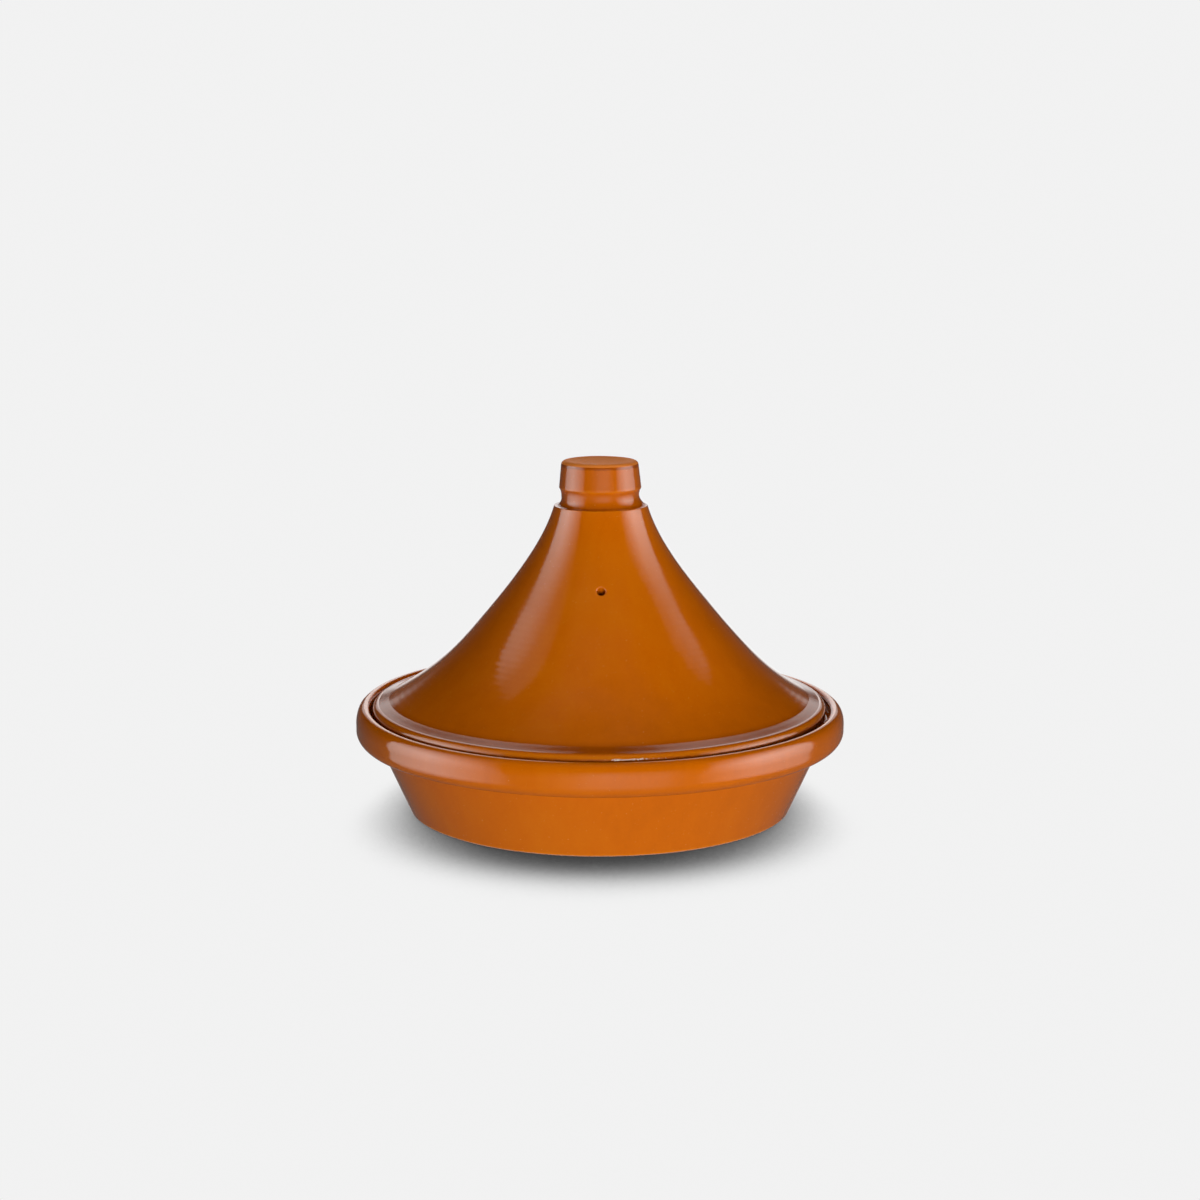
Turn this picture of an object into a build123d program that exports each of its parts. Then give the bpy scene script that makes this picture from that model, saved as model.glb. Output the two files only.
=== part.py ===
from build123d import *
import os
from math import hypot

# A two-piece tagine in glazed earthenware: a shallow dish with a rolled rim and a
# gallery just inside it, and a conical lid whose thick rim sits in that gallery.
# The lid's knob is formed on its own and luted to the flat shoulder of the cone.
# Millimetres, +Z up. The origin is on the surface the pot stands on, on its axis.
# The steam vent in the lid faces -Y.

# Dish: foot, flared wall and rolled rim
FOOT_RADIUS = 125.5
FOOT_RING_WIDTH = 15.0
FOOT_RECESS = 1.5              # the underside is turned away inside the foot ring
FOOT_EDGE = 1.2
WALL_TOP_RADIUS = 145.5        # where the flared wall meets the underside of the roll
WALL_THICKNESS = 8.5
FLOOR_THICKNESS = 9.0
BOWL_CORNER = 26.0             # between the bowl's floor and its wall
ROLL_RADIUS = 160.0            # widest point of the pot
ROLL_UNDERSIDE_Z = 45.0
ROLL_CORNER = 8.0              # the roll's lower outer corner
ROLL_WIDEST_Z = 57.5           # above this the roll's face curves in to its crest
ROLL_CREST_RADIUS = 154.0
ROLL_CREST_Z = 67.0

# Gallery: the ledge inside the roll that carries the lid
GALLERY_RADIUS = 150.7
GALLERY_TOP_Z = 63.0
GALLERY_Z = 57.0
GALLERY_CORNER = 2.0

# Lid: thick rim, concave cone, closed crown
SEAT_GAP = 0.3                 # the lid's rim rests this far off the ledge, on grit in the glaze
LID_RIM_RADIUS = 148.6
LID_RIM_INNER_RADIUS = 140.5
LID_RIM_WIDEST_Z = 66.0
LID_RIM_CORNER = 3.0
BRIM_RADIUS = 144.4            # crease between the brim and the rounded rim band
BRIM_Z = 70.2
BRIM_INNER_RADIUS = 137.6      # the flatter brim ends here and the sweep begins
BRIM_INNER_Z = 72.6
SHOULDER_RADIUS = 30.3         # flat shoulder that the knob stands on
SHOULDER_Z = 199.0
SHOULDER_EDGE = 0.5
LID_THICKNESS = 7.5
CROWN_THICKNESS = 10.0

# The cone's outer sweep is one Bezier curve from the brim to the shoulder. These are
# its inner control points: the first sets the slope at the brim, the last how steep
# the neck is.
SWEEP_CONTROL = [(86.7, 100.8), (86.1, 126.8), (44.3, 153.2)]
INNER_SWEEP_STATIONS = [0.05, 0.32, 0.58, 0.84]   # where the wall's inner face is set off
CROWN_FULLNESS = 0.6           # 0 to 1, how broadly the inner face is rounded under the crown

# Steam vent: a round hole pushed through the wall square to its face
VENT_STATION = 0.678           # place along the sweep, from 0 at the brim to 1
VENT_RADIUS = 2.5
VENT_MOUTH_RADIUS = 3.9        # the edge is softened out to this
VENT_MOUTH_DEPTH = 1.4
VENT_REACH = 15.0              # the cutter goes this far in and out from the mouth

# Knob: coved neck, lip, tapering body and slightly dished top
KNOB_BASE_RADIUS = 29.4
KNOB_NECK_CONTROL = [(25.4, 200.4), (23.9, 206.0)]   # inner control points of the cove
KNOB_LIP_RADIUS = 26.7
KNOB_LIP_Z = 210.6
KNOB_LIP_CORNER = 1.2
KNOB_TOP_RADIUS = 24.9
KNOB_TOP_Z = 228.0
KNOB_TOP_CORNER = 3.0
KNOB_DISH_RADIUS = 20.5
KNOB_DISH_DEPTH = 1.4


def round_corners(section, corners):
    """Fillet corners of the open sketch. corners is a list of ((radius, z), fillet)."""
    for place, size in corners:
        fillet(section.vertices().sort_by_distance(place)[0], size)


def build_dish():
    """Foot ring, flared wall, rolled rim, gallery and rounded bowl, in one turned piece."""
    flare = (WALL_TOP_RADIUS - FOOT_RADIUS) / ROLL_UNDERSIDE_Z
    inset = WALL_THICKNESS * hypot(1, flare)
    ring_inner = FOOT_RADIUS - FOOT_RING_WIDTH
    ledge_inner = FOOT_RADIUS + flare * GALLERY_Z - inset
    floor_radius = FOOT_RADIUS + flare * FLOOR_THICKNESS - inset

    with BuildSketch(Plane.XZ) as section:
        with BuildLine():
            Polyline(
                (0, FOOT_RECESS),
                (ring_inner - FOOT_RECESS, FOOT_RECESS),
                (ring_inner, 0),
                (FOOT_RADIUS, 0),
                (WALL_TOP_RADIUS, ROLL_UNDERSIDE_Z),
                (ROLL_RADIUS, ROLL_UNDERSIDE_Z),
                (ROLL_RADIUS, ROLL_WIDEST_Z),
            )
            EllipticalCenterArc(
                (ROLL_CREST_RADIUS, ROLL_WIDEST_Z),
                ROLL_RADIUS - ROLL_CREST_RADIUS,
                ROLL_CREST_Z - ROLL_WIDEST_Z,
                start_angle=0,
                arc_size=90,
            )
            EllipticalCenterArc(
                (ROLL_CREST_RADIUS, GALLERY_TOP_Z),
                ROLL_CREST_RADIUS - GALLERY_RADIUS,
                ROLL_CREST_Z - GALLERY_TOP_Z,
                start_angle=90,
                arc_size=90,
            )
            Polyline(
                (GALLERY_RADIUS, GALLERY_TOP_Z),
                (GALLERY_RADIUS, GALLERY_Z),
                (ledge_inner, GALLERY_Z),
                (floor_radius, FLOOR_THICKNESS),
                (0, FLOOR_THICKNESS),
                (0, FOOT_RECESS),
            )
        make_face()
        round_corners(section, [
            ((FOOT_RADIUS, 0), FOOT_EDGE),
            ((ROLL_RADIUS, ROLL_UNDERSIDE_Z), ROLL_CORNER),
            ((GALLERY_RADIUS, GALLERY_Z), GALLERY_CORNER),
            ((ledge_inner, GALLERY_Z), GALLERY_CORNER),
            ((floor_radius, FLOOR_THICKNESS), BOWL_CORNER),
        ])
    return revolve(section.sketch, Axis.Z)


def inner_face_points(sweep):
    """Points of the cone's inner face, set in from its outer sweep by the wall's thickness."""
    points = []
    for station in INNER_SWEEP_STATIONS:
        outward = Vector(sweep.tangent_at(station).Y, -sweep.tangent_at(station).X)
        points.append(sweep.position_at(station) - outward * LID_THICKNESS)
    return points


def build_vent_cutter(sweep):
    """The steam vent's bore and softened mouth, square to the cone's face on -Y."""
    mouth = sweep.position_at(VENT_STATION)
    along = sweep.tangent_at(VENT_STATION)
    face = Plane(
        origin=(0, -mouth.X, mouth.Y),
        x_dir=(1, 0, 0),
        z_dir=(0, -along.Y, -along.X),
    )
    bore = Cylinder(VENT_RADIUS, 2 * VENT_REACH)
    softening = Cone(
        VENT_RADIUS,
        VENT_MOUTH_RADIUS,
        VENT_MOUTH_DEPTH,
        align=(Align.CENTER, Align.CENTER, Align.MAX),
    )
    return face * (bore + softening)


def build_lid_cone():
    """The thick rim, the hollow concave cone with its closed crown, and the steam vent."""
    rim_bottom = GALLERY_Z + SEAT_GAP
    crown_inside = SHOULDER_Z - CROWN_THICKNESS

    with BuildSketch(Plane.XZ) as section:
        with BuildLine():
            Line((BRIM_RADIUS, BRIM_Z), (BRIM_INNER_RADIUS, BRIM_INNER_Z))
            sweep = Bezier(
                (BRIM_INNER_RADIUS, BRIM_INNER_Z),
                *SWEEP_CONTROL,
                (SHOULDER_RADIUS, SHOULDER_Z),
            )
            inner_face = Spline(
                *inner_face_points(sweep),
                tangents=(
                    sweep.tangent_at(INNER_SWEEP_STATIONS[0]),
                    sweep.tangent_at(INNER_SWEEP_STATIONS[-1]),
                ),
            )
            crown_start = inner_face.position_at(1)
            crown_rise = crown_inside - crown_start.Y
            Bezier(
                crown_start,
                crown_start + inner_face.tangent_at(1) * crown_rise * CROWN_FULLNESS,
                (crown_start.X * CROWN_FULLNESS, crown_inside),
                (0, crown_inside),
            )
            Polyline((0, crown_inside), (0, SHOULDER_Z), (SHOULDER_RADIUS, SHOULDER_Z))
            EllipticalCenterArc(
                (BRIM_RADIUS, LID_RIM_WIDEST_Z),
                LID_RIM_RADIUS - BRIM_RADIUS,
                BRIM_Z - LID_RIM_WIDEST_Z,
                start_angle=0,
                arc_size=90,
            )
            Polyline(
                (LID_RIM_RADIUS, LID_RIM_WIDEST_Z),
                (LID_RIM_RADIUS, rim_bottom),
                (LID_RIM_INNER_RADIUS, rim_bottom),
                inner_face.position_at(0),
            )
        make_face()
        round_corners(section, [
            ((LID_RIM_RADIUS, rim_bottom), LID_RIM_CORNER),
            ((LID_RIM_INNER_RADIUS, rim_bottom), LID_RIM_CORNER),
            ((SHOULDER_RADIUS, SHOULDER_Z), SHOULDER_EDGE),
        ])
    return revolve(section.sketch, Axis.Z) - build_vent_cutter(sweep)


def build_lid_knob():
    """The solid knob, from its coved neck on the shoulder to its dished top."""
    dish_bottom = KNOB_TOP_Z - KNOB_DISH_DEPTH

    with BuildSketch(Plane.XZ) as section:
        with BuildLine():
            Line((0, SHOULDER_Z), (KNOB_BASE_RADIUS, SHOULDER_Z))
            Bezier(
                (KNOB_BASE_RADIUS, SHOULDER_Z),
                *KNOB_NECK_CONTROL,
                (KNOB_LIP_RADIUS, KNOB_LIP_Z),
            )
            Polyline(
                (KNOB_LIP_RADIUS, KNOB_LIP_Z),
                (KNOB_TOP_RADIUS, KNOB_TOP_Z),
                (KNOB_DISH_RADIUS, KNOB_TOP_Z),
            )
            TangentArc((0, dish_bottom), (KNOB_DISH_RADIUS, KNOB_TOP_Z), tangent=(1, 0))
            Line((0, dish_bottom), (0, SHOULDER_Z))
        make_face()
        round_corners(section, [
            ((KNOB_LIP_RADIUS, KNOB_LIP_Z), KNOB_LIP_CORNER),
            ((KNOB_TOP_RADIUS, KNOB_TOP_Z), KNOB_TOP_CORNER),
        ])
    return revolve(section.sketch, Axis.Z)


os.makedirs("parts", exist_ok=True)
for name, build in {
    "base_dish": build_dish,
    "lid_cone": build_lid_cone,
    "lid_knob": build_lid_knob,
}.items():
    export_step(build(), f"parts/{name}.step")
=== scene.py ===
from bisect import bisect_right
from functools import reduce
from math import atan2, ceil, cos, hypot, pi, radians, sin, tan

import bpy
from mathutils import Matrix, Vector, noise


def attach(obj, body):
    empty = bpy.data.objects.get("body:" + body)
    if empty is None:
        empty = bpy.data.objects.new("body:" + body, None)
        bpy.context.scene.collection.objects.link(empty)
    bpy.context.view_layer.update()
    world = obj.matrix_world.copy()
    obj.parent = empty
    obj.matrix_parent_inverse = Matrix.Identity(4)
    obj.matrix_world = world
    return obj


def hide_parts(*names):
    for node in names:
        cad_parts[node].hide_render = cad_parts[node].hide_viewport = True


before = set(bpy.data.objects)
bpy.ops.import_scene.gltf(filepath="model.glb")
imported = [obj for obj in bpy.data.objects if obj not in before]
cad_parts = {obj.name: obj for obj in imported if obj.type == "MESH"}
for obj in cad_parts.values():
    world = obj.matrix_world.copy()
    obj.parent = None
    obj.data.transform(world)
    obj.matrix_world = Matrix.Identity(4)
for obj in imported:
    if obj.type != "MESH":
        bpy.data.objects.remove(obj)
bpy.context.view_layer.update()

# A two-piece tagine in honey-coloured glaze. The outlines below are turned about Z, as
# the CAD pieces are, and share their dimensions, in millimetres. A place in an outline
# is (radius, z). The steam vent faces -Y.
MM = 0.001

FOOT_RADIUS = 125.5
FOOT_RING_INNER = 110.5
FOOT_RECESS = 1.5
FOOT_RING_EDGE = 0.8
FOOT_EDGE = 1.2
WALL_TOP = (145.5, 45.0)
WALL_THICKNESS = 8.5
JUNCTION_CORNER = 1.0          # glaze gathered under the roll
FLOOR_Z = 9.0
BOWL_FLOOR_TOP_Z = 15.0        # the bowl's floor, with its waves, lies below this
BOWL_CORNER = 26.0
ROLL_RADIUS = 160.0
ROLL_CORNER = 8.0
ROLL_WIDEST_Z = 57.5
ROLL_CREST = (154.0, 67.0)
GALLERY_RADIUS = 150.7
GALLERY_TOP_Z = 63.0
GALLERY_Z = 57.0
GALLERY_CORNER = 2.0

LID_BOTTOM_Z = 57.3
LID_RIM_RADIUS = 148.6
LID_RIM_INNER_RADIUS = 140.5
LID_RIM_WIDEST_Z = 66.0
LID_RIM_CORNER = 3.0
BRIM = (144.4, 70.2)
BRIM_INNER = (137.6, 72.6)     # the brim slopes gently in to here, where the cone begins
BRIM_CORNER = 2.5              # between the brim and the cone
CREASE_CORNER = 1.5            # between the brim and the rounded rim band
SWEEP_CONTROL = [(86.7, 100.8), (86.1, 126.8), (44.3, 153.2)]
SHOULDER = (30.3, 199.0)
SHOULDER_EDGE = 0.5
LID_THICKNESS = 7.5
CROWN_INSIDE_Z = 189.0
CROWN_FULLNESS = 0.6           # 0 to 1, how broadly the inner face is rounded under the crown
INNER_START = 0.05             # the wall's inner face is set off from the sweep from here
INNER_END = 0.84               # to here, as fractions of its length
VENT_STATION = 0.678           # place along the sweep, from 0 at the brim to 1
VENT_RADIUS = 2.5
VENT_MOUTH_RADIUS = 3.9
VENT_MOUTH_DEPTH = 1.6

KNOB_BASE_RADIUS = 29.4
KNOB_NECK_CONTROL = [(25.4, 200.4), (23.9, 206.0)]
KNOB_LIP = (26.7, 210.6)
KNOB_LIP_CORNER = 1.2
KNOB_TOP = (24.9, 228.0)
KNOB_TOP_CORNER = 3.0
KNOB_DISH_RADIUS = 20.5
KNOB_DISH_DEPTH = 1.4

OUTLINE_STEP = 1.4             # largest distance between points of an outline
KNOB_STEP = 0.84
SWEEP_COUNT = 400              # steps along the cone's sweep, before thinning
INNER_FACE_COUNT = 60
SEGMENTS = 256                 # points round a turned piece
SHARP_ANGLE = 38.0             # edges are shaded sharp above this, in degrees
VENT_WINDOW = 4                # the vent's patch reaches this many points each way
VENT_BLEND_RINGS = 4           # rings of points from that patch's border to the vent's mouth
VENT_MOUTH_RINGS = 6           # and round its softened edge
VENT_BORE_RINGS = 4

# How far the hand-made surfaces leave their true shape, in millimetres
WAVE_LENGTH = 45.0             # slow unevenness of a thrown wall
WAVE_DEPTH = 0.12
RIPPLE_LENGTH = 11.0           # glaze that set before it lay quite flat
RIPPLE_DEPTH = 0.016
RING_PITCH = 6.5               # the turning tool's spiral
RING_DEPTH = 0.012
BOWL_RING_DEPTH = 0.10         # fingers leave deeper rings inside
RINGS_START = 20.0             # rings fade out within this radius
RIM_OFFSET = -0.7              # the lid's rim rests this far off the dish's axis, along X
CONE_OFFSET = 0.9              # its cone stands this far off the other way at CONE_OFFSET_Z
CONE_OFFSET_Z = 112.0
SHOULDER_OFFSET = 0.5
KNOB_BASE_OFFSET = 1.1         # the knob was luted on off centre
KNOB_LIP_OFFSET = 0.1          # and leans back
KNOB_TOP_OFFSET = -0.1
KNOB_NECK_Z = 206.0            # it has come back to its lip's offset here
ROLL_LIFT = 2.6                # the dish's roll rises by this where it warped in firing
ROLL_LIFT_ANGLE = 145.0        # towards this angle, in degrees from +X
ROLL_LIFT_START_Z = 57.5       # the rise grows from nothing here, just above the ledge,
ROLL_LIFT_FULL_Z = 65.5        # to all of it here


# ---------------------------------------------------------------- outlines

def bezier(points, t):
    """The point of a Bezier curve at t."""
    while len(points) > 1:
        points = [a.lerp(b, t) for a, b in zip(points, points[1:])]
    return points[0]


def curve(points, count):
    """Points along a Bezier curve, both ends included."""
    points = [Vector(p) for p in points]
    return [bezier(points, i / count) for i in range(count + 1)]


def quarter(centre, radii, start, count):
    """A quarter of an ellipse from the angle start, in degrees, turning left."""
    angles = [radians(start + 90 * i / count) for i in range(count + 1)]
    return [Vector((centre[0] + radii[0] * cos(a), centre[1] + radii[1] * sin(a))) for a in angles]


def fillet(before, corner, after, radius, count=8):
    """The points of a fillet of that radius at a corner between its two neighbours."""
    before, corner, after = Vector(before), Vector(corner), Vector(after)
    to_before = (before - corner).normalized()
    to_after = (after - corner).normalized()
    half = to_before.angle(to_after) / 2
    centre = corner + (to_before + to_after).normalized() * radius / sin(half)
    start = corner + to_before * radius / tan(half) - centre
    end = corner + to_after * radius / tan(half) - centre
    turn = atan2(start.x * end.y - start.y * end.x, start.dot(end))
    return [centre + Matrix.Rotation(turn * i / count, 2) @ start for i in range(count + 1)]


def along(points, fraction):
    """The place and heading at a fraction of the length of a line of points."""
    lengths = outline_lengths(points)
    distance = lengths[-1] * fraction
    i = min(bisect_right(lengths, distance) - 1, len(points) - 2)
    step = points[i + 1] - points[i]
    return points[i] + step * (distance - lengths[i]) / step.length, step.normalized()


def filled_in(points, step=OUTLINE_STEP):
    """The same outline with more points wherever two are further apart than step."""
    outline = [Vector(points[0])]
    for p in points[1:]:
        p = Vector(p)
        last = outline[-1]
        gap = (p - last).length
        if gap < 1e-3:
            continue
        pieces = ceil(gap / step)
        outline += [last.lerp(p, (i + 1) / pieces) for i in range(pieces)]
    return outline


def dish_outline():
    """From the middle of the underside, up the outside, and down inside to the floor."""
    flare = (WALL_TOP[0] - FOOT_RADIUS) / WALL_TOP[1]
    inset = WALL_THICKNESS * hypot(1, flare)
    recess = (FOOT_RING_INNER - FOOT_RECESS, FOOT_RECESS)
    ring = (FOOT_RING_INNER, 0)
    foot = (FOOT_RADIUS, 0)
    roll_corner = (ROLL_RADIUS, WALL_TOP[1])
    roll_side = (ROLL_RADIUS, ROLL_WIDEST_Z)
    gallery_top = (GALLERY_RADIUS, GALLERY_TOP_Z)
    gallery = (GALLERY_RADIUS, GALLERY_Z)
    ledge = (FOOT_RADIUS + flare * GALLERY_Z - inset, GALLERY_Z)
    floor = (FOOT_RADIUS + flare * FLOOR_Z - inset, FLOOR_Z)
    points = [(0, FOOT_RECESS)]
    points += fillet((0, FOOT_RECESS), recess, ring, FOOT_RING_EDGE, 3)
    points += fillet(recess, ring, foot, FOOT_RING_EDGE, 3)
    points += fillet(ring, foot, WALL_TOP, FOOT_EDGE, 6)
    points += fillet(foot, WALL_TOP, roll_corner, JUNCTION_CORNER, 6)
    points += fillet(WALL_TOP, roll_corner, roll_side, ROLL_CORNER, 16)
    points += quarter(
        (ROLL_CREST[0], ROLL_WIDEST_Z),
        (ROLL_RADIUS - ROLL_CREST[0], ROLL_CREST[1] - ROLL_WIDEST_Z),
        0,
        18,
    )
    points += quarter(
        (ROLL_CREST[0], GALLERY_TOP_Z),
        (ROLL_CREST[0] - GALLERY_RADIUS, ROLL_CREST[1] - GALLERY_TOP_Z),
        90,
        10,
    )
    points += fillet(gallery_top, gallery, ledge, GALLERY_CORNER)
    points += fillet(gallery, ledge, floor, GALLERY_CORNER)
    points += fillet(ledge, floor, (0, FLOOR_Z), BOWL_CORNER, 24)
    points += [(0, FLOOR_Z)]
    return filled_in(points)


def cone_sweep():
    """The cone's outer face, from the inside of the brim up to the shoulder."""
    return curve([BRIM_INNER, *SWEEP_CONTROL, SHOULDER], SWEEP_COUNT)


def inner_face(sweep, fraction):
    """The place and heading of the wall's inner face, set in by its thickness."""
    place, heading = along(sweep, fraction)
    return place - Vector((heading.y, -heading.x)) * LID_THICKNESS, heading


def cone_outline():
    """From inside the crown down the inner face, round the rim, and up the outside."""
    sweep = cone_sweep()
    inner = []
    for i in range(INNER_FACE_COUNT + 1):
        fraction = INNER_END + (INNER_START - INNER_END) * i / INNER_FACE_COUNT
        inner.append(inner_face(sweep, fraction)[0])
    top, rising = inner_face(sweep, INNER_END)
    crown = [
        (0, CROWN_INSIDE_Z),
        (top.x * CROWN_FULLNESS, CROWN_INSIDE_Z),
        top + rising * (CROWN_INSIDE_Z - top.y) * CROWN_FULLNESS,
        top,
    ]
    inner_corner = (LID_RIM_INNER_RADIUS, LID_BOTTOM_Z)
    outer_corner = (LID_RIM_RADIUS, LID_BOTTOM_Z)
    band = (LID_RIM_RADIUS, LID_RIM_WIDEST_Z)
    # The crease's fillet takes the place of the rounding's last two points
    rounding = quarter(
        (BRIM[0], LID_RIM_WIDEST_Z),
        (LID_RIM_RADIUS - BRIM[0], BRIM[1] - LID_RIM_WIDEST_Z),
        0,
        12,
    )[:-2]
    # The sweep is nearly straight over its first tenth, so a fillet can end on it
    brim_end = fillet(BRIM, BRIM_INNER, sweep[SWEEP_COUNT // 10], BRIM_CORNER)
    outside = [p for p in sweep[:-2:3] if p.x < brim_end[-1].x - 0.4]

    points = curve(crown, 20)
    points += inner
    points += fillet(inner[-1], inner_corner, outer_corner, LID_RIM_CORNER)
    points += fillet(inner_corner, outer_corner, band, LID_RIM_CORNER)
    points += rounding
    points += fillet(rounding[-1], BRIM, BRIM_INNER, CREASE_CORNER, 4)
    points += brim_end
    points += outside
    points += fillet(outside[-1], SHOULDER, (0, SHOULDER[1]), SHOULDER_EDGE, 5)
    points += [(0, SHOULDER[1])]
    return filled_in(points)


def knob_outline():
    """From the middle of the underside, out, up the side, and in over the dished top."""
    base = SHOULDER[1]
    dish = (0, KNOB_TOP[1] - KNOB_DISH_DEPTH)
    neck = curve([(KNOB_BASE_RADIUS, base), *KNOB_NECK_CONTROL, KNOB_LIP], 24)
    points = [(0, base)]
    # The lip's fillet takes the place of the neck's last points
    points += neck[:-3]
    points += fillet(neck[-4], KNOB_LIP, KNOB_TOP, KNOB_LIP_CORNER, 8)
    points += fillet(KNOB_LIP, KNOB_TOP, (0, KNOB_TOP[1]), KNOB_TOP_CORNER, 12)
    points += curve([(KNOB_DISH_RADIUS, KNOB_TOP[1]), (KNOB_DISH_RADIUS * 0.5, dish[1]), dish], 16)
    return filled_in(points, KNOB_STEP)


# ---------------------------------------------------------------- turned meshes

def turned_point(place, angle):
    """The point of an outline turned to an angle round Z, in millimetres."""
    return Vector((place[0] * cos(angle), place[0] * sin(angle), place[1]))


def outline_lengths(outline):
    """How far each point of an outline is along it."""
    lengths = [0.0]
    for a, b in zip(outline, outline[1:]):
        lengths.append(lengths[-1] + (b - a).length)
    return lengths


class Hole:
    """A round patch of a turned surface, at a distance along its outline, facing -Y."""

    def __init__(self, outline, lengths, row):
        self.outline = outline
        self.lengths = lengths
        self.row = row
        self.middle = lengths[row]

    def place(self, up, across):
        """The surface's point at offsets along the outline and round the turn."""
        distance = self.middle + up
        i = min(bisect_right(self.lengths, distance) - 1, len(self.outline) - 2)
        step = self.lengths[i + 1] - self.lengths[i]
        spot = self.outline[i].lerp(self.outline[i + 1], (distance - self.lengths[i]) / step)
        return turned_point(spot, -pi / 2 + across / spot.x)

    def window(self):
        """The patch's border on the grid, as (row, column) offsets in order."""
        w = VENT_WINDOW
        side = range(-w, w)
        border = [(-w, c) for c in side] + [(r, w) for r in side]
        return border + [(w, -c) for c in side] + [(-r, -w) for r in side]

    def inward(self):
        """The direction into the wall at the middle of the patch."""
        up = self.place(0.5, 0) - self.place(-0.5, 0)
        right = self.place(0, 0.5) - self.place(0, -0.5)
        return up.cross(right).normalized()


def turned_mesh(name, outline, vent_rows=()):
    """A mesh turned from an outline that starts and ends on the axis.

    With two vent_rows, the vent's bore runs from the first row's patch to the second's.
    """
    lengths = outline_lengths(outline)
    column_of_vent = SEGMENTS // 2
    vertices = [Vector((0, 0, outline[0].y)), Vector((0, 0, outline[-1].y))]
    faces = []

    def at(row, column):
        return 2 + (row - 1) * SEGMENTS + column % SEGMENTS

    for spot in outline[1:-1]:
        for column in range(SEGMENTS):
            angle = -pi / 2 + 2 * pi * (column - column_of_vent) / SEGMENTS
            vertices.append(turned_point(spot, angle))

    def in_vent(row, column):
        reach = VENT_WINDOW
        rows = any(v - reach <= row < v + reach for v in vent_rows)
        return rows and -reach <= column - column_of_vent < reach

    last = len(outline) - 2
    for column in range(SEGMENTS):
        faces.append((0, at(1, column + 1), at(1, column)))
        faces.append((1, at(last, column), at(last, column + 1)))
        for row in range(1, last):
            if not in_vent(row, column):
                faces.append((
                    at(row, column),
                    at(row, column + 1),
                    at(row + 1, column + 1),
                    at(row + 1, column),
                ))
    rings = []
    for row in vent_rows:
        rings.append(vent_rings(Hole(outline, lengths, row), at, column_of_vent, vertices, faces))
    if rings:
        # The outline runs down the inner face, so its ring is a mirror image
        inside, outside = rings
        count = len(outside)
        corner = 6 * VENT_WINDOW
        matched = [inside[(corner - i) % count] for i in range(count)]
        bore_rings(outside, matched, vertices, faces)

    mesh = bpy.data.meshes.new(name)
    mesh.from_pydata([v * MM for v in vertices], [], faces)
    mesh.update()
    return mesh


def vent_rings(hole, at, column_of_vent, vertices, faces):
    """Fill a window of the grid in to a softened round edge. Returns the last ring."""
    turn = 2 * pi / SEGMENTS
    border = []
    ring = []
    for row, column in hole.window():
        spot = hole.row + row
        border.append((
            hole.lengths[spot] - hole.middle,
            column * turn * hole.outline[spot].x,
        ))
        ring.append(at(spot, column_of_vent + column))
    inward = hole.inward()
    steps = []
    for i in range(1, VENT_BLEND_RINGS + 1):
        steps.append((i / VENT_BLEND_RINGS, VENT_MOUTH_RADIUS, 0.0))
    for i in range(1, VENT_MOUTH_RINGS + 1):
        angle = i / VENT_MOUTH_RINGS * pi / 2
        radius = VENT_RADIUS + (VENT_MOUTH_RADIUS - VENT_RADIUS) * (1 - sin(angle))
        steps.append((1.0, radius, VENT_MOUTH_DEPTH * (1 - cos(angle))))
    for blend, radius, depth in steps:
        start = len(vertices)
        for up, across in border:
            size = hypot(up, across)
            circle = (up / size * radius, across / size * radius)
            vertices.append(hole.place(
                up + (circle[0] - up) * blend,
                across + (circle[1] - across) * blend,
            ) + inward * depth)
        ring = join_rings(ring, list(range(start, len(vertices))), faces)
    return ring


def join_rings(ring, following, faces):
    """Faces between two rings of the same count. Returns the second ring."""
    count = len(ring)
    for i in range(count):
        j = (i + 1) % count
        faces.append((ring[i], ring[j], following[j], following[i]))
    return following


def bore_rings(outside, inside, vertices, faces, count=VENT_BORE_RINGS):
    """The bore's wall, from the ring at its mouth to the ring inside."""
    ring = outside
    for step in range(1, count):
        start = len(vertices)
        for a, b in zip(outside, inside):
            vertices.append(vertices[a].lerp(vertices[b], step / count))
        ring = join_rings(ring, list(range(start, len(vertices))), faces)
    join_rings(ring, inside, faces)


def smooth_step(value):
    """0 below 0, 1 above 1, and a smooth rise between."""
    value = min(max(value, 0.0), 1.0)
    return value * value * (3 - 2 * value)


def handmade(mesh, slant, shift):
    """Move the surface off its true shape by the small unevenness of thrown ware.

    slant is 1 where radius grows with height and -1 where it shrinks, so that the
    turning spiral keeps its pitch. shift moves a place bodily, in millimetres.
    """
    moved = []
    for vertex in mesh.vertices:
        place = vertex.co / MM
        normal = vertex.normal
        radius = hypot(place.x, place.y)
        angle = atan2(place.y, place.x)
        facing = (normal.x * place.x + normal.y * place.y) / max(radius, 1e-6)
        on_bowl_floor = place.z < BOWL_FLOOR_TOP_Z and normal.z > 0.2
        inside = facing < -0.05 or on_bowl_floor
        ring_depth = BOWL_RING_DEPTH if inside else RING_DEPTH
        ring_depth *= smooth_step(radius / RINGS_START)
        spiral = sin(2 * pi * (place.z + slant * radius) / RING_PITCH + angle)
        out = ring_depth * spiral
        out += WAVE_DEPTH * noise.noise(place / WAVE_LENGTH + Vector((3, 5, 7)))
        out += RIPPLE_DEPTH * noise.noise(place / RIPPLE_LENGTH)
        moved.append((place + normal * out + shift(place)) * MM)
    for vertex, place in zip(mesh.vertices, moved):
        vertex.co = place


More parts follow.
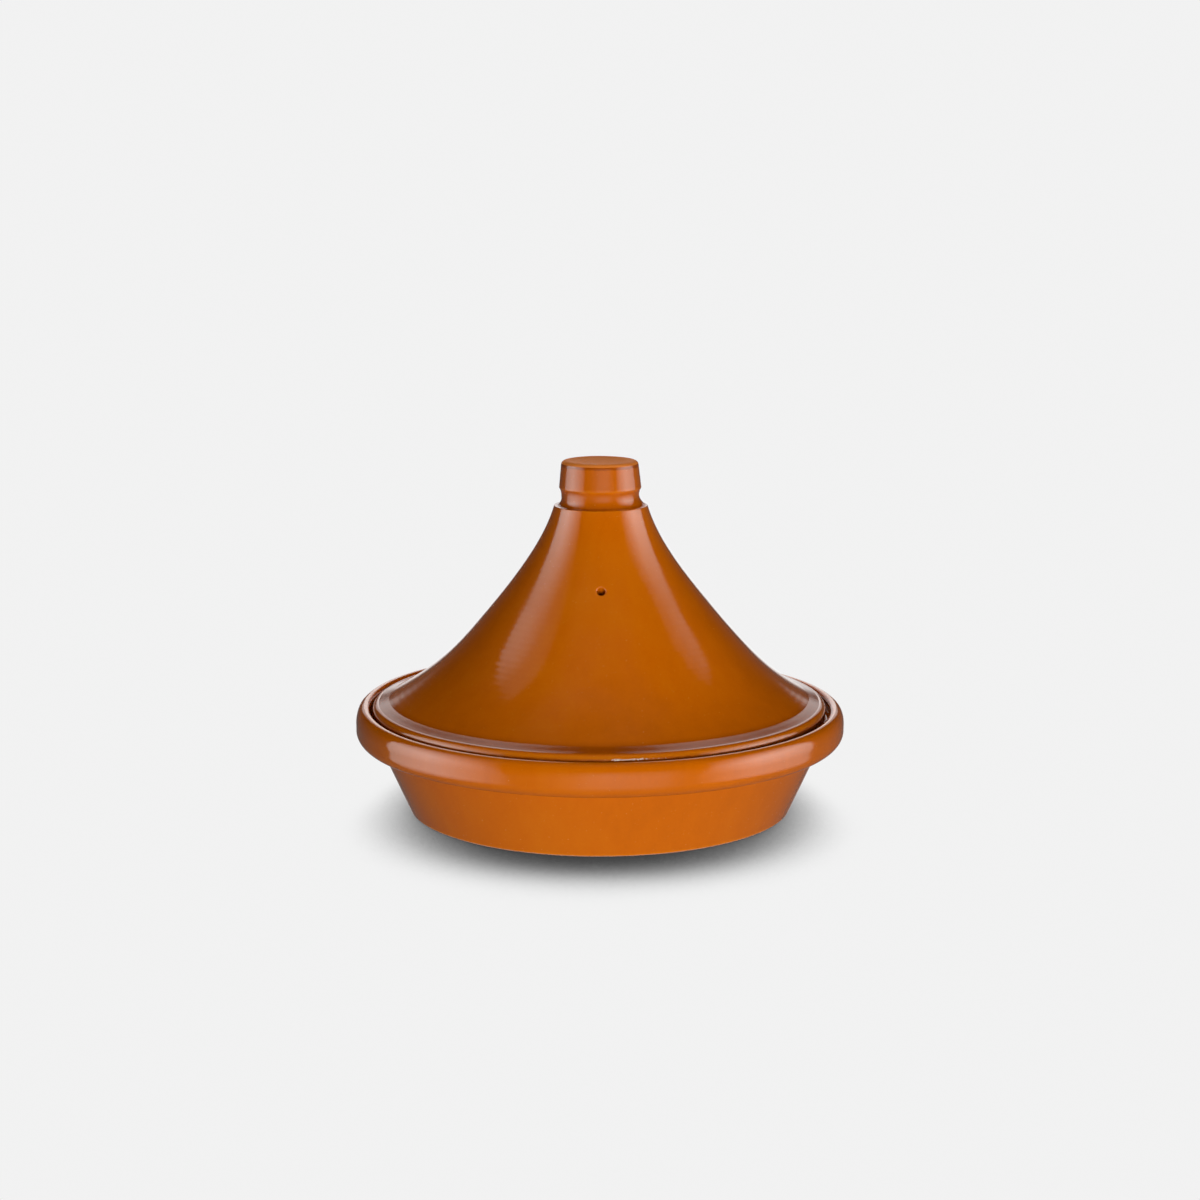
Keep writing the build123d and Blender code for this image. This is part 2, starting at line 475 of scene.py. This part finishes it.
def turned_piece(name, outline, slant, shift, vent_rows=()):
    """A smooth-shaded object turned from an outline, with the maker's unevenness."""
    mesh = turned_mesh(name, outline, vent_rows)
    handmade(mesh, slant, shift)
    mesh.shade_smooth()
    mesh.set_sharp_from_angle(angle=radians(SHARP_ANGLE))
    piece = bpy.data.objects.new(name, mesh)
    bpy.context.scene.collection.objects.link(piece)
    return piece


def nearest_row(outline, place):
    """The index of the outline's point nearest to a place."""
    return min(range(len(outline)), key=lambda i: (outline[i] - place).length)


def between(z, low, high):
    """An X offset at a height, easing between two (z, offset) pairs and held outside them."""
    fraction = smooth_step((z - low[0]) / (high[0] - low[0]))
    return Vector((low[1] + (high[1] - low[1]) * fraction, 0, 0))


def lid_shift(place):
    """The lid rests off centre in the gallery, and its cone is off the centre of its rim."""
    if place.z < CONE_OFFSET_Z:
        return between(place.z, (BRIM[1], RIM_OFFSET), (CONE_OFFSET_Z, CONE_OFFSET))
    return between(place.z, (CONE_OFFSET_Z, CONE_OFFSET), (SHOULDER[1], SHOULDER_OFFSET))


def knob_shift(place):
    """The knob's foot, lip and top are each off the axis by a little."""
    if place.z < KNOB_LIP[1]:
        return between(place.z, (SHOULDER[1], KNOB_BASE_OFFSET), (KNOB_NECK_Z, KNOB_LIP_OFFSET))
    return between(place.z, (KNOB_LIP[1], KNOB_LIP_OFFSET), (KNOB_TOP[1], KNOB_TOP_OFFSET))


def dish_shift(place):
    """The roll rises on one side, where it warped in firing. The ledge below it doesn't."""
    climb = ROLL_LIFT_FULL_Z - ROLL_LIFT_START_Z
    rising = smooth_step((place.z - ROLL_LIFT_START_Z) / climb)
    facing = cos(atan2(place.y, place.x) - radians(ROLL_LIFT_ANGLE))
    return Vector((0, 0, ROLL_LIFT * rising * max(facing, 0) ** 2))


def build_dish():
    return turned_piece("dish", dish_outline(), 1, dish_shift)


def build_cone():
    outline = cone_outline()
    sweep = cone_sweep()
    inner_mouth, heading = inner_face(sweep, VENT_STATION)
    mouth, heading = along(sweep, VENT_STATION)
    rows = (nearest_row(outline, inner_mouth), nearest_row(outline, mouth))
    return turned_piece("cone", outline, -1, lid_shift, rows)


def build_knob():
    return turned_piece("knob", knob_outline(), -1, knob_shift)


# ---------------------------------------------------------------- shader nodes

class Nodes:
    """Builds one node tree. An input is a socket to link, or a number or colour to set."""

    def __init__(self, tree):
        self.tree = tree
        tree.nodes.clear()

    def add(self, kind, inputs=(), **options):
        """A new node, with its options set and its inputs filled."""
        node = self.tree.nodes.new(kind)
        for key, value in options.items():
            setattr(node, key, value)
        for key, value in dict(inputs).items():
            if isinstance(value, bpy.types.NodeSocket):
                self.tree.links.new(value, node.inputs[key])
            else:
                node.inputs[key].default_value = value
        return node

    def calculate(self, operation, a, b=0.0):
        """The result of one Math node."""
        return self.add("ShaderNodeMath", {0: a, 1: b}, operation=operation).outputs[0]

    def total(self, *values):
        """All the values added up."""
        return reduce(lambda a, b: self.calculate("ADD", a, b), values)

    def product(self, *values):
        """All the values multiplied together."""
        return reduce(lambda a, b: self.calculate("MULTIPLY", a, b), values)

    def largest(self, *values):
        """The largest of the values."""
        return reduce(lambda a, b: self.calculate("MAXIMUM", a, b), values)

    def minus(self, a, b):
        """What is left of a without b."""
        return self.calculate("SUBTRACT", a, b)

    def distance(self, a, b):
        """The length of a flat vector with the parts a and b."""
        return self.calculate("SQRT", self.total(self.product(a, a), self.product(b, b)))

    def ramp(self, value, low, high, to_low=0.0, to_high=1.0, smooth=True):
        """A value carried from low..high to to_low..to_high, and held outside it."""
        return self.add(
            "ShaderNodeMapRange",
            {
                "Value": value,
                "From Min": low,
                "From Max": high,
                "To Min": to_low,
                "To Max": to_high,
            },
            interpolation_type="SMOOTHSTEP" if smooth else "LINEAR",
            clamp=True,
        ).outputs["Result"]

    def mix(self, factor, a, b):
        """The colour a, giving way to b as the factor rises from 0 to 1."""
        return self.add(
            "ShaderNodeMix",
            {"Factor": factor, 6: a, 7: b},
            data_type="RGBA",
            clamp_factor=True,
        ).outputs[2]

    def cloud(self, place, scale, detail=2.0, roughness=0.5):
        """Noise of about 0 to 1, with scale as its bumps per metre, roughly."""
        return self.add(
            "ShaderNodeTexNoise",
            {"Vector": place, "Scale": scale, "Detail": detail, "Roughness": roughness},
        ).outputs["Fac"]

    def bump(self, height, strength, distance, under=None):
        """A normal bent by a height, over another normal. The distance is in millimetres."""
        inputs = {"Height": height, "Strength": strength, "Distance": distance * MM}
        if under is not None:
            inputs["Normal"] = under
        return self.add("ShaderNodeBump", inputs).outputs[0]

    def finish(self, shader, kind="ShaderNodeOutputMaterial"):
        """Send a shader node's result to the surface."""
        self.tree.links.new(shader.outputs[0], self.add(kind).inputs["Surface"])


# ---------------------------------------------------------------- glaze

# Depth of glaze, and the noise that varies it: (scale, detail, roughness, strength)
THIN = 0.0
USUAL = 0.42
KNOB_SHADED_COAT = 0.58                   # a deeper coat than the rest, which darkens the knob: painted shade
THICK = 1.2
SHADE_DEPTHS = (1.7, 2.2)             # past THICK it darkens to painted shade between these depths
DRIFT = (9, 3, 0.5, 0.55)
RUNS = (95, 3, 0.6, 0.32)
RUNS_SQUASH = (1, 1, 0.16)         # runs are drawn out down the wall
GRAIN = (520, 2, 0.6, 0.16)

HONEY_THIN = (0.66, 0.170, 0.003, 1)
HONEY = (0.60, 0.128, 0.0004, 1)
HONEY_THICK = (0.36, 0.068, 0.0004, 1)
# near black: painted shade in the gap between lid and dish and in the vent
PAINTED_SHADE = (0.05, 0.006, 0.0003, 1)
HONEY_WORN = (0.80, 0.230, 0.035, 1)
CLAY = (0.56, 0.255, 0.135, 1)
CLAY_DARK = (0.40, 0.165, 0.08, 1)
# painted glint: the near-white colour of the ragged line on the lid's rim
PAINTED_GLINT = (1.0, 0.88, 0.74, 1)
PINHOLE = (0.78, 0.42, 0.16, 1)

PINHOLE_SCALE = 1500
PINHOLE_LEVELS = (0.84, 0.87)      # pinholes are where fine noise rises past these
PINHOLE_COLOUR = 0.6               # how far they take on the colour PINHOLE
WOBBLE_SCALE = 260
POOL_WOBBLE = 1.4                  # raggedness of thick glaze, painted shade and edges, in millimetres
BARE_WOBBLE = 0.35                 # and of bare clay, as a share of it
BARE_BLUR = 0.12                   # millimetres either side of a bare edge
GLOSS = (0.07, 0.15)               # roughness of the glaze, which varies slowly
PINHOLE_ROUGHNESS = 0.25           # added in pinholes
WORN_ROUGHNESS = 0.42              # added where handling has dulled the glaze
WORN_BLUR = 0.2
CLAY_ROUGHNESS = 0.92
SHINE = 0.5                        # specular level of glaze
WORN_SHINE_LOSS = 0.49

# Relief, as (strength, depth in millimetres)
PEEL = (0.5, 0.10)
PINHOLE_RELIEF = (0.4, 0.08)
GRIT = (0.6, 0.15)

# A short ragged line of painted glint on the front of the lid's rim, near white in the colour
GLINT_START = 7.0                   # along X
GLINT_END = 40.0
GLINT_SHRINKS_FROM = 19.0
GLINT_END_SIZE = 0.45               # against 1 at its start
GLINT_Z = 66.9
GLINT_HEIGHT = 1.3
GLINT_SHARE = 0.35                  # of the line, against the noise that breaks it up
GLINT_LEVELS = (0.74, 0.80)


class Glaze:
    """Where a piece's glaze is thick, thin or missing, in millimetres.

    The piece is turned round centre_x, and coat is the glaze's usual depth on it.
    Thickening and thinning rings are given as (radius, z, width, strength); the strongest
    thickening rings go past thick glaze to painted shade.
    Clay is bare within the largest radius and below the height of each pair in bare.
    Handling has dulled the glaze above the height worn_above. A piece marked for it has a painted
    glint: a ragged near-white line on its rim.
    """

    def __init__(self, centre_x, coat, pools_and_shade, edges, bare=(), worn_above=None, has_painted_glint=False):
        self.centre_x = centre_x
        self.coat = coat
        self.pools_and_shade = pools_and_shade
        self.edges = edges
        self.bare = bare
        self.worn_above = worn_above
        self.has_painted_glint = has_painted_glint


def rings_mask(nodes, radius, height, rings):
    """How strongly any of the rings is felt."""
    strongest = 0.0
    for ring_radius, ring_z, width, strength in rings:
        distance = nodes.distance(
            nodes.minus(radius, ring_radius * MM),
            nodes.minus(height, ring_z * MM),
        )
        felt = nodes.ramp(distance, 0.0, width * MM, strength, 0.0)
        strongest = nodes.largest(strongest, felt)
    return strongest


def layer(nodes, place, scale, detail, roughness, strength):
    """Noise that adds and takes away depth of glaze in equal measure."""
    around_zero = nodes.minus(nodes.cloud(place, scale, detail, roughness), 0.5)
    return nodes.product(around_zero, strength)


def glaze_depth(nodes, place, radius, height, glaze):
    """The usual coat, with clouds, runs and grain, thicker at thickening rings and thinner on
    edges, and painted shade at the strongest rings.
    """
    drawn_out = nodes.add("ShaderNodeMapping", {"Vector": place, "Scale": RUNS_SQUASH})
    uneven = nodes.total(
        layer(nodes, place, *DRIFT),
        layer(nodes, drawn_out.outputs[0], *RUNS),
        layer(nodes, place, *GRAIN),
    )
    pooled_and_shaded = rings_mask(nodes, radius, height, glaze.pools_and_shade)
    thinned = rings_mask(nodes, radius, height, glaze.edges)
    return nodes.minus(nodes.total(uneven, glaze.coat, pooled_and_shaded), thinned)


def glaze_colour(nodes, depth, pinholes):
    """Pale where the glaze is thin, honey at its usual depth, dark where it is thick, and painted
    shade where it is deepest.
    """
    thin = nodes.ramp(depth, THIN, USUAL, smooth=False)
    thick = nodes.ramp(depth, USUAL, THICK, smooth=False)
    painted_shade_share = nodes.ramp(depth, *SHADE_DEPTHS, smooth=False)
    colour = nodes.mix(thin, HONEY_THIN, HONEY)
    colour = nodes.mix(thick, colour, HONEY_THICK)
    # painted shade: the deepest rings go to near black
    colour = nodes.mix(painted_shade_share, colour, PAINTED_SHADE)
    return nodes.mix(nodes.product(pinholes, PINHOLE_COLOUR), colour, PINHOLE)


def bare_mask(nodes, radius, height, bare):
    """1 on the bare clay where the pot stands and where lid and ledge meet."""
    masks = []
    for largest_radius, top in bare:
        below = nodes.ramp(height, (top - BARE_BLUR) * MM, (top + BARE_BLUR) * MM, 1.0, 0.0)
        within = nodes.ramp(radius, largest_radius * MM, (largest_radius + 0.3) * MM, 1.0, 0.0)
        masks.append(nodes.product(below, within))
    return nodes.largest(*masks)


def painted_glint_mask(nodes, place, axes):
    """1 inside the ragged line of painted glint."""
    x, y, z = axes
    from_line = nodes.calculate("ABSOLUTE", nodes.minus(z, GLINT_Z * MM))
    line = nodes.product(
        nodes.ramp(from_line, 0.0, GLINT_HEIGHT * MM, 1.0, 0.0, smooth=False),
        nodes.ramp(x, (GLINT_START - 2) * MM, (GLINT_START + 2) * MM),
        nodes.ramp(x, GLINT_SHRINKS_FROM * MM, GLINT_END * MM, 1.0, GLINT_END_SIZE),
        nodes.calculate("LESS_THAN", x, GLINT_END * MM),
        nodes.calculate("LESS_THAN", y, 0.0),
    )
    ragged = nodes.total(nodes.product(line, GLINT_SHARE), nodes.cloud(place, 900, 3, 0.8))
    return nodes.ramp(ragged, *GLINT_LEVELS)


def glaze_relief(nodes, place, pinholes, uncovered):
    """The normal: orange peel and pinholes in the glaze, and fine grit in bare clay."""
    peel = nodes.total(nodes.cloud(place, 170, 1), nodes.product(nodes.cloud(place, 420, 1), 0.3))
    relief = nodes.bump(peel, *PEEL)
    relief = nodes.bump(nodes.product(pinholes, -1.0), *PINHOLE_RELIEF, relief)
    if uncovered is not None:
        grit = nodes.product(nodes.cloud(place, 2200, 2), uncovered)
        relief = nodes.bump(grit, *GRIT, relief)
    return relief


def glaze_material(name, glaze):
    """Honey glaze over terracotta, laid as a Glaze says."""
    material = bpy.data.materials.new(name)
    material.use_nodes = True
    nodes = Nodes(material.node_tree)

    place = nodes.add("ShaderNodeTexCoord").outputs["Object"]
    axes = nodes.add("ShaderNodeSeparateXYZ", {0: place}).outputs
    height = axes["Z"]
    radius = nodes.distance(nodes.minus(axes["X"], glaze.centre_x * MM), axes["Y"])
    wobble = nodes.minus(nodes.cloud(place, WOBBLE_SCALE), 0.5)
    wobble = nodes.product(wobble, POOL_WOBBLE * MM)
    pinholes = nodes.ramp(nodes.cloud(place, PINHOLE_SCALE, 0), *PINHOLE_LEVELS)

    depth = glaze_depth(nodes, place, radius, nodes.total(height, wobble), glaze)
    colour = glaze_colour(nodes, depth, pinholes)
    roughness = nodes.total(
        nodes.ramp(nodes.cloud(place, 38, 3), 0.3, 0.7, *GLOSS, smooth=False),
        nodes.product(pinholes, PINHOLE_ROUGHNESS),
    )
    shine = SHINE
    if glaze.worn_above is not None:
        edge = glaze.worn_above
        worn = nodes.ramp(height, (edge - WORN_BLUR) * MM, (edge + WORN_BLUR) * MM)
        colour = nodes.mix(worn, colour, HONEY_WORN)
        roughness = nodes.total(roughness, nodes.product(worn, WORN_ROUGHNESS))
        shine = nodes.minus(shine, nodes.product(worn, WORN_SHINE_LOSS))
    # painted glint: a ragged near-white line on the front of the lid's rim
    if glaze.has_painted_glint:
        colour = nodes.mix(painted_glint_mask(nodes, place, axes), colour, PAINTED_GLINT)
    uncovered = None
    if glaze.bare:
        edge_height = nodes.total(height, nodes.product(wobble, BARE_WOBBLE))
        uncovered = bare_mask(nodes, radius, edge_height, glaze.bare)
        clay = nodes.mix(nodes.cloud(place, 700, 4, 0.7), CLAY_DARK, CLAY)
        colour = nodes.mix(uncovered, colour, clay)
        roughness = nodes.add(
            "ShaderNodeMix",
            {"Factor": uncovered, "A": roughness, "B": CLAY_ROUGHNESS},
            data_type="FLOAT",
        ).outputs[0]

    nodes.finish(nodes.add(
        "ShaderNodeBsdfPrincipled",
        {
            "Base Color": colour,
            "Roughness": roughness,
            "Specular IOR Level": shine,
            "IOR": 1.5,
            "Normal": glaze_relief(nodes, place, pinholes, uncovered),
        },
    ))
    return material


def dish_glaze():
    """Thick under the roll and at the bowl's edge, painted shade in the gallery, thin on the
    crest.
    """
    return Glaze(
        centre_x=0.0,
        coat=USUAL,
        pools_and_shade=[
            (WALL_TOP[0], WALL_TOP[1], 2.2, 0.75),
            (117.0, 13.0, 12.0, 0.6),
            # painted shade: a strong ring in the gallery, where the lid's rim sits, goes near
            # black
            (151.0, 63.0, 6.0, 2.2),
        ],
        edges=[
            (ROLL_CREST[0] - 0.5, ROLL_CREST[1], 3.2, 0.4),
            (FOOT_RADIUS, FOOT_EDGE, 1.6, 0.4),
        ],
        bare=[
            (ROLL_RADIUS, 0.75),
            (FOOT_RING_INNER, FOOT_RECESS + 0.4),
        ],
    )


def cone_glaze():
    """Thick on the brim and round the knob, thin on the rim and shoulder, and painted shade in the
    vent and low on the rim, in the gallery.
    """
    inner_mouth, heading = inner_face(cone_sweep(), VENT_STATION)
    mouth, heading = along(cone_sweep(), VENT_STATION)
    inside_vent = mouth.lerp(inner_mouth, 0.55)
    return Glaze(
        centre_x=RIM_OFFSET,
        coat=USUAL,
        pools_and_shade=[
            (BRIM[0] - 0.4, BRIM[1] + 0.2, 1.5, 0.75),
            (141.5, 71.5, 9.0, 0.7),
            # painted shade: the rim's lower band, down in the gallery, goes dark
            (LID_RIM_RADIUS, 65.0, 2.6, 1.5),
            (28.5, SHOULDER[1], 1.6, 0.75),
            # painted shade: the vent's bore goes near black
            (inside_vent.x, inside_vent.y, 3.4, 2.4),
        ],
        edges=[
            (LID_RIM_RADIUS - 0.8, LID_RIM_WIDEST_Z + 2.2, 3.2, 0.5),
            (SHOULDER[0], SHOULDER[1], 1.3, 0.4),
        ],
        bare=[(ROLL_RADIUS, LID_BOTTOM_Z + 0.8)],
        # painted glint on the front of the rim
        has_painted_glint=True,
    )


def knob_glaze():
    """Thick round its foot and under the top's edge, and worn over the top."""
    return Glaze(
        centre_x=KNOB_LIP_OFFSET,
        # painted shade: the knob's deeper coat darkens it
        coat=KNOB_SHADED_COAT,
        pools_and_shade=[
            (KNOB_BASE_RADIUS - 1.5, SHOULDER[1], 2.0, 0.75),
            (25.3, 225.3, 1.5, 0.8),
        ],
        edges=[(KNOB_LIP[0], KNOB_LIP[1], 1.8, 0.4)],
        worn_above=KNOB_TOP[1] - 1.7,
    )


# ---------------------------------------------------------------- camera and floor

CAMERA_DISTANCE = 1.5085
CAMERA_ELEVATION = radians(10.66)
CAMERA_AIM_Z = 0.1361
CAMERA_LENS = 69.26
CAMERA_SENSOR = 36
PALE = (0.885, 0.885, 0.885, 1)
BLACK = (0, 0, 0, 1)

FLOOR_HALF = 20.0                  # metres
SHADE_SAMPLES = 24
BEHIND_NORMAL = (0.0, 0.8, 0.6)    # towards the backdrop's light, which the pot cuts off
BEHIND_REACH = 0.20
BEHIND_OPENNESS = (0.21, 0.69)     # the floor is darkest below the first, bright above the second
BEHIND_DARKEST = 0.05
ABOVE_REACH = 0.15
ABOVE_OPENNESS = (0.08, 0.50)
ABOVE_DARKEST = 0.15


def add_camera():
    data = bpy.data.cameras.new("camera")
    data.lens = CAMERA_LENS
    data.sensor_width = CAMERA_SENSOR
    data.clip_start = 0.05
    data.clip_end = 50
    camera = bpy.data.objects.new("camera", data)
    camera.location = (
        0,
        -CAMERA_DISTANCE * cos(CAMERA_ELEVATION),
        CAMERA_AIM_Z + CAMERA_DISTANCE * sin(CAMERA_ELEVATION),
    )
    camera.rotation_euler = (pi / 2 - CAMERA_ELEVATION, 0, 0)
    bpy.context.scene.collection.objects.link(camera)
    bpy.context.scene.camera = camera


def floor_material():
    """A plain pale glow, less where the pot keeps the light off the floor."""
    material = bpy.data.materials.new("pale floor")
    material.use_nodes = True
    nodes = Nodes(material.node_tree)
    behind = nodes.add("ShaderNodeCombineXYZ", dict(enumerate(BEHIND_NORMAL))).outputs[0]
    open_behind = nodes.add(
        "ShaderNodeAmbientOcclusion",
        {"Distance": BEHIND_REACH, "Normal": behind},
        samples=SHADE_SAMPLES,
    ).outputs["AO"]
    open_above = nodes.add(
        "ShaderNodeAmbientOcclusion",
        {"Distance": ABOVE_REACH},
        samples=SHADE_SAMPLES,
    ).outputs["AO"]
    light = nodes.calculate(
        "MINIMUM",
        nodes.ramp(open_behind, *BEHIND_OPENNESS, BEHIND_DARKEST, 1.0),
        nodes.ramp(open_above, *ABOVE_OPENNESS, ABOVE_DARKEST, 1.0),
    )
    colour = nodes.mix(light, BLACK, PALE)
    nodes.finish(nodes.add("ShaderNodeEmission", {"Color": colour, "Strength": 1.0}))
    return material


def add_floor():
    """A pale floor that the camera sees and the pot doesn't mirror."""
    half = FLOOR_HALF
    mesh = bpy.data.meshes.new("floor")
    corners = [(-half, -half, 0), (half, -half, 0), (half, half, 0), (-half, half, 0)]
    mesh.from_pydata(corners, [], [(0, 1, 2, 3)])
    mesh.materials.append(floor_material())
    floor = bpy.data.objects.new("floor", mesh)
    floor.visible_diffuse = False
    floor.visible_glossy = False
    floor.visible_shadow = False
    bpy.context.scene.collection.objects.link(floor)


# ---------------------------------------------------------------- what the glaze mirrors

class SoftBox:
    """A flat soft light to one side, as the glaze mirrors it, square to the X axis.

    Its places are slopes seen from the pot: back is Y over distance, up is Z over it.
    """

    def __init__(self, side, front, back, centre, top, bottom, radiance):
        self.side = side           # -1 on the left, 1 on the right
        self.front = front         # where its front edge meets the horizon
        self.back = back
        self.centre = centre       # brightest here, as (back, up)
        self.top = top             # (faded to here, cut off here)
        self.bottom = bottom
        self.radiance = radiance


LEFT_BOX = SoftBox(-1, -0.985, 0.43, (-0.105, 0.27), (1.30, 1.75), -0.90, 5.4)
RIGHT_BOX = SoftBox(1, -0.91, 0.44, (-0.20, 0.30), (1.05, 1.15), -0.62, 5.5)
FRONT_EDGE_LEAN = 0.279            # the front edges lean back as they rise
FRONT_EDGE_LEVEL = 0.12            # brightness at the edges, against 1 at the centre
BACK_EDGE_LEVEL = 0.45
TOP_EDGE_LEVEL = 0.10
EDGE_BLUR = 0.04                   # how far an edge takes to go dark
FRONT_EDGE_BLUR = 0.03
FORWARD = 0.001                    # directions nearer the YZ plane than this miss the box

# Patches of even light, as left, right, bottom and top edges in degrees and a radiance.
# Each edge is (where it has faded out, where it is full).
FRONT_GLOW = ((-34, 4), (48, 20), (-60, -8), (32, -2), 0.5)
BACKDROP = ((167.5, 170.5), (190, 185), (-28, -8), (46, 45), 0.95)
WIDE_BACKDROP = ((157, 163), (190, 185), (6, 12), (52.6, 49.5), 0.95)
LOW_GLOW = (-20, 25, 0.12, 0.0)    # from the first elevation and level to the second


def soft_box_light(nodes, direction, box):
    """The light that comes from a soft box in a direction."""
    x, y, z = direction
    towards = nodes.product(x, box.side)
    distance = nodes.largest(towards, FORWARD)
    back = nodes.calculate("DIVIDE", y, distance)
    up = nodes.calculate("DIVIDE", z, distance)
    leaned = nodes.minus(back, nodes.product(up, FRONT_EDGE_LEAN))
    return nodes.product(
        box.radiance,
        nodes.calculate("GREATER_THAN", towards, FORWARD),
        nodes.ramp(leaned, box.front, box.centre[0], FRONT_EDGE_LEVEL, 1.0, smooth=False),
        nodes.ramp(leaned, box.front - FRONT_EDGE_BLUR, box.front),
        nodes.ramp(back, box.centre[0], box.back, 1.0, BACK_EDGE_LEVEL, smooth=False),
        nodes.ramp(back, box.back, box.back + EDGE_BLUR, 1.0, 0.0),
        nodes.ramp(up, box.bottom, box.centre[1], smooth=False),
        nodes.ramp(up, box.centre[1], box.top[0], 1.0, TOP_EDGE_LEVEL, smooth=False),
        nodes.ramp(up, box.top[1] - EDGE_BLUR, box.top[1], 1.0, 0.0),
    )


def soft_edge(nodes, source, faded, full):
    """Light that grows from where it has faded out to where it is full, either way."""
    if faded < full:
        return nodes.ramp(source, faded, full)
    return nodes.ramp(source, full, faded, 1.0, 0.0)


def patch_light(nodes, across, elevation, left, right, bottom, top, radiance):
    """An even light with four soft edges: two in across, and two in elevation."""
    return nodes.product(
        radiance,
        soft_edge(nodes, across, *left),
        soft_edge(nodes, across, *right),
        soft_edge(nodes, elevation, *bottom),
        soft_edge(nodes, elevation, *top),
    )


def add_surroundings():
    """The studio that the glaze mirrors: two soft boxes, a pale backdrop, a dim front."""
    world = bpy.data.worlds.new("studio")
    bpy.context.scene.world = world
    world.use_nodes = True
    world.cycles_visibility.diffuse = False
    nodes = Nodes(world.node_tree)

    generated = nodes.add("ShaderNodeTexCoord").outputs["Generated"]
    direction = nodes.add("ShaderNodeSeparateXYZ", {0: generated}).outputs
    x, y, z = direction
    to_degrees = 180 / pi
    from_front = nodes.calculate("ARCTAN2", x, nodes.product(y, -1.0))
    azimuth = nodes.product(from_front, to_degrees)
    either_side = nodes.calculate("ABSOLUTE", azimuth)
    elevation = nodes.product(nodes.calculate("ARCSINE", z), to_degrees)

    light = nodes.total(
        soft_box_light(nodes, direction, LEFT_BOX),
        soft_box_light(nodes, direction, RIGHT_BOX),
        patch_light(nodes, azimuth, elevation, *FRONT_GLOW),
        patch_light(nodes, either_side, elevation, *BACKDROP),
        patch_light(nodes, either_side, elevation, *WIDE_BACKDROP),
        nodes.ramp(elevation, *LOW_GLOW),
    )

    seen = nodes.add("ShaderNodeLightPath").outputs["Is Camera Ray"]
    mirrored = nodes.add("ShaderNodeBackground", {"Strength": light, "Color": (1, 1, 1, 1)})
    plain = nodes.add("ShaderNodeBackground", {"Strength": 1.0, "Color": PALE})
    mixed = nodes.add(
        "ShaderNodeMixShader",
        {0: seen, 1: mirrored.outputs[0], 2: plain.outputs[0]},
    )
    nodes.finish(mixed, "ShaderNodeOutputWorld")


# ---------------------------------------------------------------- lights

LIGHT_DISTANCE = 2.0               # metres, from the point they are turned to
LIGHT_AIM = (0, 0, 0.1)

# Name, azimuth from the camera's side, elevation, width, height and radiance
SOFT_LIGHTS = [
    ("front light", 10, 0, 1.3, 1.3, 6.2),
    ("front low fill", 10, -35, 1.3, 1.3, 1.1),
    ("back light", 188, 14, 1.3, 1.3, 6.0),
    ("left low fill", -72, -28, 1.6, 1.2, 1.3),
    ("right low fill", 80, -15, 1.6, 1.2, 2.0),
    ("top fill", 0, 85, 1.6, 1.6, 1.3),
]


def add_soft_light(name, azimuth, elevation, width, height, radiance):
    """A large panel that shades the pot but isn't mirrored in it."""
    data = bpy.data.lights.new(name, "AREA")
    data.shape = "RECTANGLE"
    data.size = width
    data.size_y = height
    data.energy = radiance * pi * width * height
    azimuth, elevation = radians(azimuth), radians(elevation)
    away = Vector((
        sin(azimuth) * cos(elevation),
        -cos(azimuth) * cos(elevation),
        sin(elevation),
    ))
    panel = bpy.data.objects.new(name, data)
    panel.location = Vector(LIGHT_AIM) + away * LIGHT_DISTANCE
    panel.rotation_euler = away.to_track_quat("Z", "Y").to_euler()
    panel.visible_glossy = False
    panel.visible_camera = False
    bpy.context.scene.collection.objects.link(panel)


# ---------------------------------------------------------------- the scene

def add_piece(piece, glaze, body, replaced):
    """Glaze a piece, hang it on its body, and let it stand in for its CAD node."""
    piece.data.materials.append(glaze_material(f"{piece.name} glaze", glaze))
    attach(piece, body)
    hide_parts(replaced)


def main():
    bpy.context.scene.view_settings.view_transform = "Standard"
    add_camera()
    add_floor()
    add_surroundings()
    for light in SOFT_LIGHTS:
        add_soft_light(*light)
    add_piece(build_dish(), dish_glaze(), "base", "base_dish")
    add_piece(build_cone(), cone_glaze(), "lid", "lid_cone")
    add_piece(build_knob(), knob_glaze(), "lid", "lid_knob")


main()
